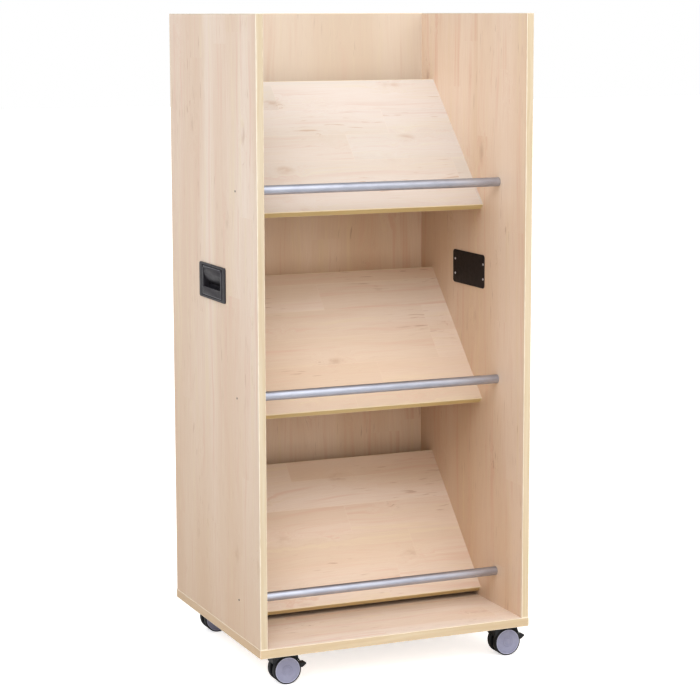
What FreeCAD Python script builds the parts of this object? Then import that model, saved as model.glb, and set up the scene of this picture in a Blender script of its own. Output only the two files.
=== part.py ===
import FreeCAD, Part
import math
import os

# Mobile open-topped storage unit: two side panels and a back panel stand on a base on four
# twin-wheel casters and carry three sloping shelves, each with a round retaining rail.
# Millimetres. X runs left to right, Y front to back, Z up. The origin is on the floor,
# under the centre of the carcass.

V = FreeCAD.Vector
X_AXIS = V(1, 0, 0)
Y_AXIS = V(0, 1, 0)
Z_AXIS = V(0, 0, 1)
ORIGIN = V(0, 0, 0)
slack = 1e-6

# Carcass
width = 700.0
depth = 600.0
height = 1560.0
board = 18.0
base_board = 22.0
panel_setback = 1.0
band_thickness = 2.0
band_chamfer = 1.0

# Sloping shelves and their rails
shelf_slope_deg = 46.0
shelf_length = 417.0
shelf_names = ("bottom", "middle", "top")
first_shelf_edge_z = 125.0
shelf_edge_y = -77.0
shelf_pitch = 484.0
rail_radius = 11.0
rail_wall = 1.5
rail_y = -158.0
rail_above_shelf_edge = 62.0

# Loose splines glued into both boards of every joint
spline_thickness = 4.0
spline_width = 16.0
shelf_spline_inset = 60.0
base_spline_inset = 70.0
back_spline_inset = 100.0

# Recessed carrying handles, one in each side panel
handle_centre_z = 926.5
handle_flange_width = 178.0
handle_flange_height = 84.0
handle_flange_corner = 6.0
handle_flange_proud = 3.0
handle_tub_width = 122.0
handle_tub_height = 62.0
handle_tub_depth = 16.6
handle_tub_corner = 6.8
handle_wall = 2.0
handle_groove_width = 5.0
handle_groove_depth = 1.2
handle_ridge_width = 7.0
handle_ridge_proud = 0.6
handle_lip_top = -15.0
handle_brow_z = 2.8
handle_brow_round = 38.0
handle_brow_foot_z = -9.1
handle_pocket_round = 4.0
handle_clearance = 0.5
cover_plate_width = 173.0
cover_plate_height = 83.0
cover_plate_thickness = 2.0
cover_plate_corner = 8.0

# Twin-wheel casters: the axle trails behind the swivel pin
caster_height = 80.0
caster_inset = 60.0
caster_trail = 22.5
wheel_radius = 34.0
wheel_inner_y = 6.5
wheel_outer_y = 22.5
axle_radius = 3.0
axle_half_length = 19.5
axle_end_gap = 0.4
running_clearance = 0.05
swivel_pin_radius = 4.0
swivel_pin_bottom_z = 53.0
swivel_pin_grip = 18.0
hood_web_half = 6.0
hood_half_width = 22.0
hood_well_radius = 35.7
hood_hub_round = 11.0
hood_hub_corner_x = 22.8
hood_hub_corner_z = 17.4
hood_rear_x = -13.0
hood_rear_end_z = 53.0
hood_pad_gap = 0.3
hood_pad_round = 3.0
hood_pad_front_x = 13.0
hood_step_x = 15.0
hood_step_round = 2.0
hood_top_z = 73.5
hood_front_x = 46.5
hood_front_round = 2.0
hood_brow_x = 50.1
hood_brow_z = 60.3
hood_front_end_x = 54.9
hood_front_end_z = 54.2
hood_corner = 6.0
swivel_socket_bottom_z = 52.0

# Brake pedals on the front casters: each lever turns in a slot of the web between the wheels
pedal_pivot_x = 48.5
pedal_pivot_z = 49.0
pedal_lug_radius = 4.2
pedal_hub_radius = 3.6
pedal_hub_round = 3.5
pedal_arm_half_width = 3.6
pedal_arm_end_x = 60.0
pedal_arm_end_z = 35.5
pedal_slot_half_width = 4.0
pedal_slot_radius = 4.4
pedal_slot_end_x = 60.0
pedal_slot_end_z = 30.0
pedal_pin_radius = 2.0
pedal_pin_half_length = 5.8
pedal_half_width = 10.0
pedal_top_z = 44.3
pedal_step_round = 1.5
pedal_root_x = 58.6
pedal_tip_x = 74.5
pedal_tip_low_z = 40.3
pedal_tip_round = 2.0
pedal_heel_x = 66.0
pedal_heel_z = 33.8
pedal_heel_round = 2.5
brake_gap = 3.2
brake_deg = -1.5

# Derived places
deck_z = caster_height + base_board
side_outer_x = width / 2 - panel_setback
side_inner_x = side_outer_x - board
panel_front_y = panel_setback - depth / 2
panel_rear_y = -panel_front_y
back_front_y = panel_rear_y - board
inner_width = 2 * side_inner_x
axle_z = wheel_radius
hood_pad_z = caster_height - hood_pad_gap
swivel_pin_top_z = caster_height + swivel_pin_grip
caster_x = width / 2 - caster_inset
caster_y = depth / 2 - caster_inset
casters = (
    ("front_left", -caster_x, -caster_y, True),
    ("front_right", caster_x, -caster_y, True),
    ("rear_left", -caster_x, caster_y, False),
    ("rear_right", caster_x, caster_y, False),
)


def block(low, high):
    """Box between two opposite corners."""
    size = V(*high) - V(*low)
    return Part.makeBox(size.x, size.y, size.z, V(*low))


def edges_along(shape, axis):
    """Straight edges that run along one axis."""
    chosen = []
    for edge in shape.Edges:
        run = edge.Vertexes[-1].Point - edge.Vertexes[0].Point
        if run.cross(axis).Length < slack:
            chosen.append(edge)
    return chosen


def turned(shape, angle_deg, axis):
    """Copy turned about an axis through the origin."""
    result = shape.copy()
    result.rotate(ORIGIN, axis, angle_deg)
    return result


def moved(shape, offset):
    """Copy moved by an offset."""
    result = shape.copy()
    result.translate(offset)
    return result


def mirrored_pair(shape):
    """The same piece at the left and, turned half round the vertical axis, at the right."""
    return shape, turned(shape, 180, Z_AXIS)


def flat_block(size_y, size_z, x_low, x_high):
    """Upright block facing along X, centred on the X axis."""
    return block((x_low, -size_y / 2, -size_z / 2), (x_high, size_y / 2, size_z / 2))


def tablet(size_y, size_z, corner, x_low, x_high):
    """The same block with rounded corners."""
    plate = flat_block(size_y, size_z, x_low, x_high)
    return plate.makeFillet(corner, edges_along(plate, X_AXIS))


def rounded_corner(before, corner, after, radius):
    """First, middle and last point of the arc that rounds one corner of an outline."""
    to_before = (before - corner).normalize()
    to_after = (after - corner).normalize()
    half_angle = to_before.getAngle(to_after) / 2
    reach = radius / math.tan(half_angle)
    to_centre = (to_before + to_after).normalize()
    middle = corner + to_centre * (radius / math.sin(half_angle) - radius)
    return corner + to_before * reach, middle, corner + to_after * reach


def side_profile(corners, half_width):
    """Prism across the Y axis from a ring of (x, z, rounding radius) corners."""
    points = [V(x, -half_width, z) for x, z, _ in corners]
    stretches = []
    for place, (_, _, radius) in enumerate(corners):
        after = points[(place + 1) % len(points)]
        if radius:
            stretches.append(rounded_corner(points[place - 1], points[place], after, radius))
        else:
            stretches.append((points[place],))
    edges = []
    for place, stretch in enumerate(stretches):
        edges.append(Part.makeLine(stretches[place - 1][-1], stretch[0]))
        if len(stretch) > 1:
            edges.append(Part.Arc(*stretch).toShape())
    return Part.Face(Part.Wire(edges)).extrude(V(0, 2 * half_width, 0))


# ---------------------------------------------------------------- boards and edge bands


def base_core():
    inset = band_thickness
    return block(
        (inset - width / 2, inset - depth / 2, caster_height),
        (width / 2 - inset, depth / 2 - inset, deck_z),
    )


def base_edge_band():
    """Edging round all four sides of the base, with every outer arris eased."""
    slab = block((-width / 2, -depth / 2, caster_height), (width / 2, depth / 2, deck_z))
    return slab.makeChamfer(band_chamfer, slab.Edges).cut(base_core())


def side_core():
    """Left side panel inside its edging."""
    inset = band_thickness
    low = (-side_outer_x, panel_front_y + inset, deck_z)
    high = (-side_inner_x, panel_rear_y - inset, height - inset)
    return block(low, high)


def side_edge_band():
    """Edging down the front, over the top and down the rear of the left side panel."""
    slab = block((-side_outer_x, panel_front_y, deck_z), (-side_inner_x, panel_rear_y, height))
    exposed = [edge for edge in slab.Edges if edge.CenterOfMass.z > deck_z]
    return slab.makeChamfer(band_chamfer, exposed).cut(side_core())


def back_core():
    low = (-side_inner_x, back_front_y, deck_z)
    high = (side_inner_x, panel_rear_y, height - band_thickness)
    return block(low, high)


def back_edge_band():
    """Edging on the top edge of the back panel."""
    low = (-side_inner_x, back_front_y, height - band_thickness)
    high = (side_inner_x, panel_rear_y, height)
    strip = block(low, high)
    long_top = [edge for edge in edges_along(strip, X_AXIS) if edge.CenterOfMass.z > height - slack]
    return strip.makeChamfer(band_chamfer, long_top)


# ---------------------------------------------------------------- sloping shelves


def on_slope(shape, shelf_edge_z):
    """Place a piece modelled flat, with its front top edge on the X axis, on a slope."""
    return moved(turned(shape, shelf_slope_deg, X_AXIS), V(0, shelf_edge_y, shelf_edge_z))


def shelf_board():
    low = (-side_inner_x, band_thickness, -board)
    high = (side_inner_x, shelf_length - band_thickness, 0)
    return block(low, high)


def shelf_front_band():
    strip = block((-side_inner_x, 0, -board), (side_inner_x, band_thickness, 0))
    exposed = [edge for edge in edges_along(strip, X_AXIS) if edge.CenterOfMass.y < slack]
    return strip.makeChamfer(band_chamfer, exposed)


def shelf_rear_band():
    low = (-side_inner_x, shelf_length - band_thickness, -board)
    high = (side_inner_x, shelf_length, 0)
    strip = block(low, high)
    rear = shelf_length - slack
    exposed = [edge for edge in edges_along(strip, X_AXIS) if edge.CenterOfMass.y > rear]
    return strip.makeChamfer(band_chamfer, exposed)


def shelf_spline():
    """Spline in the left end of a shelf, half in the shelf and half in the side panel."""
    middle = -board / 2
    low = (-side_inner_x - spline_width / 2, shelf_spline_inset, middle - spline_thickness / 2)
    high = (
        -side_inner_x + spline_width / 2,
        shelf_length - shelf_spline_inset,
        middle + spline_thickness / 2,
    )
    return block(low, high)


def carcass_splines(shelf_edges):
    """All loose splines: shelf ends, side panels to base, back to sides and back to base."""
    half_t = spline_thickness / 2
    half_w = spline_width / 2
    side_middle = side_outer_x - board / 2
    back_middle = panel_rear_y - board / 2
    base_side = block(
        (-side_middle - half_t, panel_front_y + base_spline_inset, deck_z - half_w),
        (-side_middle + half_t, panel_rear_y - base_spline_inset, deck_z + half_w),
    )
    back_side = block(
        (-side_inner_x - half_w, back_middle - half_t, deck_z + back_spline_inset),
        (-side_inner_x + half_w, back_middle + half_t, height - back_spline_inset),
    )
    base_back = block(
        (base_spline_inset - side_inner_x, back_middle - half_t, deck_z - half_w),
        (side_inner_x - base_spline_inset, back_middle + half_t, deck_z + half_w),
    )
    left = [base_side, back_side]
    left += [on_slope(shelf_spline(), edge_z) for edge_z in shelf_edges]
    right = [spline.mirror(ORIGIN, X_AXIS) for spline in left]
    return left + right + [base_back]


# ---------------------------------------------------------------- retaining rails


def along_x(radius, x_low, x_high):
    """Cylinder on the X axis."""
    return Part.makeCylinder(radius, x_high - x_low, V(x_low, 0, 0), X_AXIS)


def rail_tube():
    outer = along_x(rail_radius, -side_inner_x, side_inner_x)
    return outer.cut(along_x(rail_radius - rail_wall, -side_inner_x, side_inner_x))


# ---------------------------------------------------------------- recessed handles


def handle_scoop():
    """Finger space: a brow that rolls down and back behind an upright lip into a pocket."""
    top = handle_tub_height / 2 - handle_wall
    back = handle_tub_depth - handle_wall
    face = -handle_flange_proud - handle_ridge_proud
    return side_profile(
        [
            (face, top, 0),
            (-handle_flange_proud, top, 0),
            (-handle_flange_proud, handle_brow_z, handle_brow_round),
            (back, handle_brow_foot_z, 0),
            (back, -top, handle_pocket_round),
            (0, -top, 0),
            (0, handle_lip_top, 0),
            (face, handle_lip_top, 0),
        ],
        handle_tub_width / 2 - handle_wall,
    )


def handle_cup():
    """Left handle: flange on the outside of the panel, tub in the cut-out, ridge and groove."""
    ridge_y = handle_tub_width - 2 * handle_wall + 2 * handle_ridge_width
    ridge_z = handle_tub_height + handle_ridge_width
    face = -handle_flange_proud
    crest = face - handle_ridge_proud
    flange = tablet(handle_flange_width, handle_flange_height, handle_flange_corner, face, 0)
    groove = flat_block(
        ridge_y + 2 * handle_groove_width,
        ridge_z + handle_groove_width,
        crest,
        face + handle_groove_depth,
    )
    ridge = flat_block(ridge_y, ridge_z, crest, 0)
    tub = tablet(handle_tub_width, handle_tub_height, handle_tub_corner, 0, handle_tub_depth)
    return flange.cut(groove).fuse([ridge, tub]).cut(handle_scoop()).removeSplitter()


def handle_cutout():
    """Hole through the panel for the tub of a handle."""
    gap = 2 * handle_clearance
    corner = handle_tub_corner + handle_clearance
    return tablet(handle_tub_width + gap, handle_tub_height + gap, corner, 0, board)


def cover_plate():
    """Plate on the inner face of the panel that closes the handle's cut-out."""
    plate_face = board + cover_plate_thickness
    return tablet(cover_plate_width, cover_plate_height, cover_plate_corner, board, plate_face)


def at_left_handle(shape):
    """Move a piece from the panel's own frame to the left handle."""
    return moved(shape, V(-side_outer_x, 0, handle_centre_z))


# ---------------------------------------------------------------- casters


def along_y(radius, y_low, y_high, x, z):
    """Cylinder parallel to the Y axis."""
    return Part.makeCylinder(radius, y_high - y_low, V(x, y_low, z), Y_AXIS)


def upright(radius, z_low, z_high):
    """Cylinder on the swivel axis."""
    return Part.makeCylinder(radius, z_high - z_low, V(0, 0, z_low), Z_AXIS)


def caster_stem():
    """Plain swivel pin, pressed into the base at its upper end."""
    return upright(swivel_pin_radius, swivel_pin_bottom_z, swivel_pin_top_z)


def hood_body():
    """Swivel pad, brow and tapering web in one side profile, rounded in plan at its corners."""
    body = side_profile(
        [
            (hood_rear_x, hood_rear_end_z, 0),
            (hood_rear_x, hood_pad_z, hood_pad_round),
            (hood_pad_front_x, hood_pad_z, 0),
            (hood_step_x, hood_top_z, hood_step_round),
            (hood_front_x, hood_top_z, hood_front_round),
            (hood_brow_x, hood_brow_z, 0),
            (hood_front_end_x, hood_front_end_z, 0),
            (hood_hub_corner_x, hood_hub_corner_z, hood_hub_round),
        ],
        hood_half_width,
    )
    plan = block(
        (hood_rear_x, -hood_half_width, 0),
        (hood_front_end_x, hood_half_width, hood_pad_z),
    )
    return body.common(plan.makeFillet(hood_corner, edges_along(plan, Z_AXIS)))


def round_axle(radius, angle_deg):
    """Place at a distance and an angle from the axle, as x and z."""
    angle = math.radians(angle_deg)
    return caster_trail + radius * math.cos(angle), axle_z + radius * math.sin(angle)


def on_pedal_pivot(radius, half_length):
    """Cylinder on the axis the pedal turns about."""
    return along_y(radius, -half_length, half_length, pedal_pivot_x, pedal_pivot_z)


def pedal_slot():
    """Slot of the web for the lever, open to the front and below."""
    low = (pedal_pivot_x - pedal_slot_radius, -pedal_slot_half_width, pedal_slot_end_z)
    high = (pedal_slot_end_x, pedal_slot_half_width, pedal_pivot_z)
    return block(low, high).fuse(on_pedal_pivot(pedal_slot_radius, pedal_slot_half_width))


def hood(braked):
    """Hood with a well on both sides of its web, its axle and, if braked, a slot for a pedal."""
    body = hood_body()
    for low, high in ((-hood_half_width, -hood_web_half), (hood_web_half, hood_half_width)):
        body = body.cut(along_y(hood_well_radius, low, high, caster_trail, axle_z))
    if braked:
        body = body.fuse(on_pedal_pivot(pedal_lug_radius, hood_web_half)).cut(pedal_slot())
        body = body.cut(on_pedal_pivot(pedal_pin_radius + running_clearance, hood_web_half))
    axle = along_y(axle_radius, -axle_half_length, axle_half_length, caster_trail, axle_z)
    socket = upright(swivel_pin_radius + running_clearance, swivel_socket_bottom_z, hood_pad_z)
    return body.fuse(axle).cut(socket).removeSplitter()


def rear_wheel():
    """Wheel behind the web: tread and disc in one, with a blind bore for the axle."""
    rim = along_y(wheel_radius, wheel_inner_y, wheel_outer_y, caster_trail, axle_z)
    bore_radius = axle_radius + running_clearance
    bore_end = axle_half_length + axle_end_gap
    return rim.cut(along_y(bore_radius, wheel_inner_y, bore_end, caster_trail, axle_z))


def front_wheel():
    """The same wheel on the front side of the web."""
    return rear_wheel().mirror(ORIGIN, Y_AXIS)


def pedal_arm():
    """Narrow lever from its hub in the slot to the tongue."""
    return side_profile(
        [
            (pedal_pivot_x - pedal_hub_radius, pedal_pivot_z - pedal_hub_radius, pedal_hub_round),
            (pedal_pivot_x - pedal_hub_radius, pedal_pivot_z + pedal_hub_radius, pedal_hub_round),
            (pedal_pivot_x + pedal_hub_radius, pedal_pivot_z + pedal_hub_radius, pedal_hub_round),
            (pedal_pivot_x + pedal_hub_radius, pedal_top_z, pedal_step_round),
            (pedal_arm_end_x, pedal_top_z, 0),
            (pedal_arm_end_x, pedal_arm_end_z, 0),
        ],
        pedal_arm_half_width,
    )


def brake_pedal():
    """Flat tongue whose rear edge closes on both treads, with its arm and pin."""
    shoe_x, shoe_z = round_axle(wheel_radius + brake_gap, brake_deg)
    tongue = side_profile(
        [
            (pedal_root_x, pedal_top_z, 0),
            (pedal_tip_x, pedal_top_z, pedal_tip_round),
            (pedal_tip_x, pedal_tip_low_z, pedal_tip_round),
            (pedal_heel_x, pedal_heel_z, pedal_heel_round),
            (shoe_x, shoe_z, 0),
        ],
        pedal_half_width,
    )
    pin = on_pedal_pivot(pedal_pin_radius, pedal_pin_half_length)
    return tongue.fuse([pedal_arm(), pin]).removeSplitter()


# ---------------------------------------------------------------- assembly


def build_carcass(nodes):
    """Boards, edge bands, splines, shelves, rails and the swivel pins pressed into the base."""
    shelf_edges = [first_shelf_edge_z + shelf_pitch * step for step in range(3)]
    splines = carcass_splines(shelf_edges)
    left_side = side_core().cut(at_left_handle(handle_cutout()))
    nodes["side_panel_left"] = left_side.cut(splines)
    nodes["side_panel_right"] = turned(left_side, 180, Z_AXIS).cut(splines)
    nodes["side_edge_band_left"] = side_edge_band()
    nodes["side_edge_band_right"] = turned(side_edge_band(), 180, Z_AXIS)
    nodes["back_panel"] = back_core().cut(splines)
    nodes["back_edge_band"] = back_edge_band()
    stems = [moved(caster_stem(), V(x, y, 0)) for _, x, y, _ in casters]
    nodes["caster_stems"] = Part.makeCompound(stems)
    nodes["base_panel"] = base_core().cut(splines + stems)
    nodes["base_edge_band"] = base_edge_band()
    nodes["panel_splines"] = Part.makeCompound(splines)
    for name, edge_z in zip(shelf_names, shelf_edges):
        nodes["shelf_" + name] = on_slope(shelf_board(), edge_z).cut(splines)
        nodes["shelf_front_band_" + name] = on_slope(shelf_front_band(), edge_z)
        nodes["shelf_rear_band_" + name] = on_slope(shelf_rear_band(), edge_z)
        rail_z = edge_z + rail_above_shelf_edge
        nodes["rail_" + name] = moved(rail_tube(), V(0, rail_y, rail_z))


def build_handles(nodes):
    """A cup outside and a cover plate inside each side panel."""
    left_cup, right_cup = mirrored_pair(at_left_handle(handle_cup()))
    left_plate, right_plate = mirrored_pair(at_left_handle(cover_plate()))
    nodes["handle_cup_left"] = left_cup
    nodes["handle_cup_right"] = right_cup
    nodes["handle_cover_plate_left"] = left_plate
    nodes["handle_cover_plate_right"] = right_plate


def build_casters(nodes):
    """Hood, twin wheels and, at the front, a brake pedal for each caster."""
    for name, x, y, braked in casters:
        place = V(x, y, 0)
        prefix = "caster_" + name
        nodes[prefix + "_hood"] = moved(hood(braked), place)
        nodes[prefix + "_wheel_front"] = moved(front_wheel(), place)
        nodes[prefix + "_wheel_rear"] = moved(rear_wheel(), place)
        if braked:
            nodes[prefix + "_brake_pedal"] = moved(brake_pedal(), place)


def main():
    nodes = {}
    build_carcass(nodes)
    build_handles(nodes)
    build_casters(nodes)
    os.makedirs("parts", exist_ok=True)
    for name, shape in nodes.items():
        shape.exportStep(os.path.join("parts", name + ".step"))


main()
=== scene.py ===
import math

import bmesh
import bpy
from mathutils import Euler, Matrix, Vector


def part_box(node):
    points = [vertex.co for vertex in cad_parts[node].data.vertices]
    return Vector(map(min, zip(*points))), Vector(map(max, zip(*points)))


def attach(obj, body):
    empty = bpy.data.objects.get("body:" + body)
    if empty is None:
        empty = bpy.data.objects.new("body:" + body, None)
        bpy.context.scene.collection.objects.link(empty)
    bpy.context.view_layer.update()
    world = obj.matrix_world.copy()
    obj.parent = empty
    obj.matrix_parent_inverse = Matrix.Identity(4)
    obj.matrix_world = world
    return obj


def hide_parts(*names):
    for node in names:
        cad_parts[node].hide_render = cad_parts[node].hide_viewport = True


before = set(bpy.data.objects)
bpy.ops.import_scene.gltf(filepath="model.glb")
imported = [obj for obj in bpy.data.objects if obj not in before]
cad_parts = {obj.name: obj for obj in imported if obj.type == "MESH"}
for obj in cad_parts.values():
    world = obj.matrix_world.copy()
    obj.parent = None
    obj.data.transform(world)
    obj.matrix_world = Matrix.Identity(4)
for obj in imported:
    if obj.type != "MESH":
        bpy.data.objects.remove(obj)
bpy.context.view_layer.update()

MM = 0.001

# Camera
eye = Vector((-2.0822, -4.8575, 1.5620))
heading_deg = -23.264
tilt_down_deg = 8.279
roll_deg = 0.132
lens_mm = 111.9
sensor_mm = 36.0
frame_shift = -0.03

# Light
display_gamma = 0.84
ambient_strength = 0.56
floor_glow = 0.65
floor_side = 60
floor_tone = (0.86, 0.84, 0.81, 1.0)
floor_roughness = 0.9
white = (1.0, 1.0, 1.0, 1.0)
sun_strength = 1.9
sun_spread_deg = 80.0
sun_from = (-0.03, -0.79, 0.60)
sun_place = (0, 0, 4)
front_softbox_place = (-1.6, -3.2, 3.9)
side_softbox_place = (-3.2, -0.8, 3.3)
softbox_aim = (-0.1, 0.0, 1.5)
softbox_size = 1.6
front_softbox_power = 45.0
side_softbox_power = 45.0
softbox_colour = (0.80, 0.96, 1.18)

# Modelling: corners this close are one place, and faces are picked with this much to spare
same_place = 0.01 * MM
pick_margin = 0.1 * MM
overlap = 1.0 * MM
smooth_deg = 35
merge_gap = 0.001 * MM
cad_merge_gap = 0.002 * MM
cad_flat_deg = 0.5

# Boards: a turn brings the grain to X and the width of the face to Y
slope_deg = 46.0
grain_up_face_x = (0, 90, 0)
grain_up_face_y = (90, 0, 90)
grain_across = (0, 0, 0)
grain_on_slope = (-slope_deg, 0, 0)

# Staves that a board is glued up from
stave_length = 0.61
stave_width = 0.083
stave_seam = 0.0007
stave_break = 0.35

# Maple figure: repeats in a metre along the grain, across it and into the board
cast_repeats = (0.8, 7.5, 7.5)
bend_repeats = (2.3, 7.0, 7.0)
broad_flame_repeats = (1.7, 34, 34)
narrow_flame_repeats = (3.5, 120, 120)
fibre_repeats = (14, 620, 620)
fleck_repeats = (19, 210, 210)
fleck_patch_repeats = (3, 8, 8)
knot_repeats = (5.2, 10.5, 0.0)
knot_swirl_repeats = (30, 60, 60)
knot_curl_repeats = (32, 75, 75)
bend_width = 0.05
knot_bulge = (-0.012, 0.03)

# Maple tones, and how far each mask takes the colour to its tone
stave_tone = (215, 184, 156)
fibre_tone = (205, 172, 144)
fibre_share = 0.16
seam_tone = (250, 232, 214)
seam_share = 0.4
fleck_tone = (186, 150, 122)
fleck_share = 0.55
knot_tone = (180, 142, 112)
knot_share = 0.46
greenish = (0.99, 0.99, 0.93)
greenish_share = 0.5
rosy = (1.0, 0.955, 0.96)
rosy_share = 0.75

# Edging, with a painted highlight along its arrises
edging_highlight = 2.2 * MM
edging_highlight_tone = (246, 234, 216)
edging_highlight_share = 0.5
edging_fibre_tone = (198, 172, 130)
edging_fibre_share = 0.2
# Painted shade on the left strip of the base band
left_strip_start = 2.3 * MM
left_strip_full = 2.1 * MM
left_strip_share = 0.6

# Rails
rail_end_round = 0.7 * MM
rail_sides = 72

# Screw heads: radius, height, depth into what they hold, and rounding of the rim
rail_screw = (2.5 * MM, 0.35 * MM, 1.0 * MM, 0.25 * MM)
plate_screw = (3.1 * MM, 1.3 * MM, 0.4 * MM, 0.8 * MM)
flange_screw = (2.7 * MM, 0.7 * MM, 0.1 * MM, 0.5 * MM)
plate_screw_spacing = (155.0 * MM, 37.0 * MM)
plate_screw_lead = 4.5 * MM
flange_screw_reach = (65.0 * MM, 33.0 * MM)
screw_sides = 32
first_screw_turn_deg = 23.0
next_screw_turn_deg = 41.0
recess_reach = 0.62               # share of the head's radius
recess_arm = 0.16                 # share of the head's radius
recess_depth = 0.55               # share of the head's height

# Recessed handle, about its own centre: x is 0 on the panel's face and grows inwards
flange_corner = 6.0 * MM
flange_thickness = 3.0 * MM
flange_round = 0.9 * MM
handle_arris_round = 0.3 * MM
tub_half_width = 61.0 * MM
tub_half_height = 31.0 * MM
tub_depth = 16.6 * MM
tub_corner = 6.8 * MM
tub_wall = 2.0 * MM
groove_side_width = 5.0 * MM
groove_end_width = 2.5 * MM
groove_depth = 2.0 * MM
ridge_half_width = 66.0 * MM
ridge_half_height = 34.5 * MM
ridge_proud = 0.6 * MM
# Painted highlight along the crest arrises of the ridge: its width, tone and share
ridge_highlight = 1.6 * MM
ridge_highlight_tone = (138, 134, 138)
ridge_highlight_share = 0.75
lip_top = -15.0 * MM
brow_z = 2.8 * MM
brow_reach = 20.1 * MM
brow_foot_z = -9.1 * MM
pocket_round = 4.0 * MM
flange_screw_hole = 3.1 * MM
flange_screw_depth = 2.3 * MM
plate_corner = 8.0 * MM
plate_round = 0.4 * MM

# Caster wheels, with depths from the outer face; a step is an inset and then a push along Y
disc_radius = 30.7 * MM
disc_depth = 1.8 * MM
disc_crown_depth = 0.7 * MM
disc_dish = 0.8 * MM
disc_round = 0.2 * MM
bead_width = 1.5 * MM
bead_crown_depth = 0.1 * MM
bead_floor = 0.3 * MM
bead_round = 0.45 * MM
medallion_radius = 12.0 * MM
medallion_rim = 1.2 * MM
medallion_steps = (
    (medallion_rim, -0.9 * MM),
    (3.4 * MM, 0.6 * MM),
    (0.9 * MM, -0.45 * MM),
)
tyre_back_steps = ((2.5 * MM, -2.0 * MM), (17 * MM, 1.5 * MM))
shoulder_round = 2.2 * MM
wheel_sides = 96

# Hoods and pedals
hood_round = 0.7 * MM
pedal_round = 0.9 * MM


# ---------------------------------------------------------------- modelling helpers


def start_piece(name):
    """Name the primitive that was just added and put its place into its mesh."""
    piece = bpy.context.object
    piece.name = name
    piece.data.name = name
    bpy.ops.object.transform_apply(location=True, rotation=True, scale=True)
    return piece


def deselect_all():
    if bpy.context.mode != "OBJECT":
        bpy.ops.object.mode_set(mode="OBJECT")
    bpy.ops.object.select_all(action="DESELECT")


def add_block(name, low, high):
    deselect_all()
    low, high = Vector(low), Vector(high)
    bpy.ops.mesh.primitive_cube_add(size=1, location=(low + high) / 2, scale=high - low)
    return start_piece(name)


def add_round(name, radius, low, high, sides):
    """Cylinder between two points of its axis."""
    deselect_all()
    low, high = Vector(low), Vector(high)
    turn = (high - low).to_track_quat("Z", "Y").to_euler()
    bpy.ops.mesh.primitive_cylinder_add(
        vertices=sides,
        radius=radius,
        depth=(high - low).length,
        location=(low + high) / 2,
        rotation=turn,
    )
    return start_piece(name)


def edit(piece, kind, test):
    """Edit a piece with only those faces, edges or corners selected that pass the test."""
    deselect_all()
    piece.select_set(True)
    bpy.context.view_layer.objects.active = piece
    bpy.ops.object.mode_set(mode="EDIT")
    bpy.ops.mesh.select_mode(type=kind)
    bpy.ops.mesh.select_all(action="DESELECT")
    shape = bmesh.from_edit_mesh(piece.data)
    parts = {"FACE": shape.faces, "EDGE": shape.edges, "VERT": shape.verts}[kind]
    for part in parts:
        if test(part):
            part.select_set(True)
    shape.select_flush_mode()
    bmesh.update_edit_mesh(piece.data)


def object_mode():
    bpy.ops.object.mode_set(mode="OBJECT")


def faces_towards(direction, reach):
    """Test for faces that look along a direction and lie at least that far along it."""
    direction = Vector(direction)

    def test(face):
        looks_along = face.normal.dot(direction) > 0.9999
        return looks_along and face.calc_center_median().dot(direction) > reach

    return test


def edges_along(axis):
    """Test for edges that run along one axis."""
    axis = Vector(axis)

    def test(edge):
        run = edge.verts[1].co - edge.verts[0].co
        return run.length > 0 and abs(run.normalized().dot(axis)) > 0.999

    return test


def push(offset):
    """Extrude the selected faces by an offset."""
    bpy.ops.mesh.extrude_region_move(TRANSFORM_OT_translate={"value": tuple(offset)})


def step_faces(*steps):
    """Inset the selected faces and push them along Y, once for each step."""
    for width, depth in steps:
        bpy.ops.mesh.inset(thickness=width)
        push((0, depth, 0))


def soften(piece, width, segments=2, angle_deg=30):
    """Round every edge sharper than an angle."""
    deselect_all()
    bpy.context.view_layer.objects.active = piece
    rounding = piece.modifiers.new("rounding", "BEVEL")
    rounding.width = width
    rounding.segments = segments
    rounding.limit_method = "ANGLE"
    rounding.angle_limit = math.radians(angle_deg)
    rounding.harden_normals = False
    bpy.ops.object.modifier_apply(modifier=rounding.name)


def round_corners(piece, test, width, segments):
    """Round the edges that pass a test."""
    edit(piece, "EDGE", test)
    bpy.ops.mesh.bevel(offset=width, segments=segments, affect="EDGES")
    object_mode()


def combine(piece, other, operation):
    """Cut another piece away from this one or unite the two, and drop the other."""
    deselect_all()
    bpy.context.view_layer.objects.active = piece
    step = piece.modifiers.new(operation.lower(), "BOOLEAN")
    step.operation = operation
    step.solver = "EXACT"
    step.object = other
    bpy.ops.object.modifier_apply(modifier=step.name)
    bpy.data.objects.remove(other)


def cut_away(piece, tool):
    combine(piece, tool, "DIFFERENCE")


def edges_at(**place):
    """Test for edges whose ends both lie at the given coordinates."""

    def test(edge):
        ends = [corner.co for corner in edge.verts]
        gaps = (abs(getattr(end, axis) - at) for end in ends for axis, at in place.items())
        return all(gap < same_place for gap in gaps)

    return test


def placed_copy(piece, name, place):
    """Copy with its own mesh, moved by a matrix; a mirrored one keeps its faces outwards."""
    twin = piece.copy()
    twin.data = piece.data.copy()
    twin.name = name
    twin.data.name = name
    twin.data.transform(place)
    if place.determinant() < 0:
        twin.data.flip_normals()
    bpy.context.scene.collection.objects.link(twin)
    return twin


def cad_copy(node, name):
    """Merged copy of a CAD node's mesh with its flat faces joined."""
    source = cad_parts[node]
    deselect_all()
    twin = bpy.data.objects.new(name, source.data.copy())
    twin.data.name = name
    twin.data.transform(source.matrix_world)
    bpy.context.scene.collection.objects.link(twin)
    edit(twin, "VERT", lambda corner: True)
    bpy.ops.mesh.remove_doubles(threshold=cad_merge_gap)
    bpy.ops.mesh.dissolve_limited(angle_limit=math.radians(cad_flat_deg))
    object_mode()
    return twin


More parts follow.
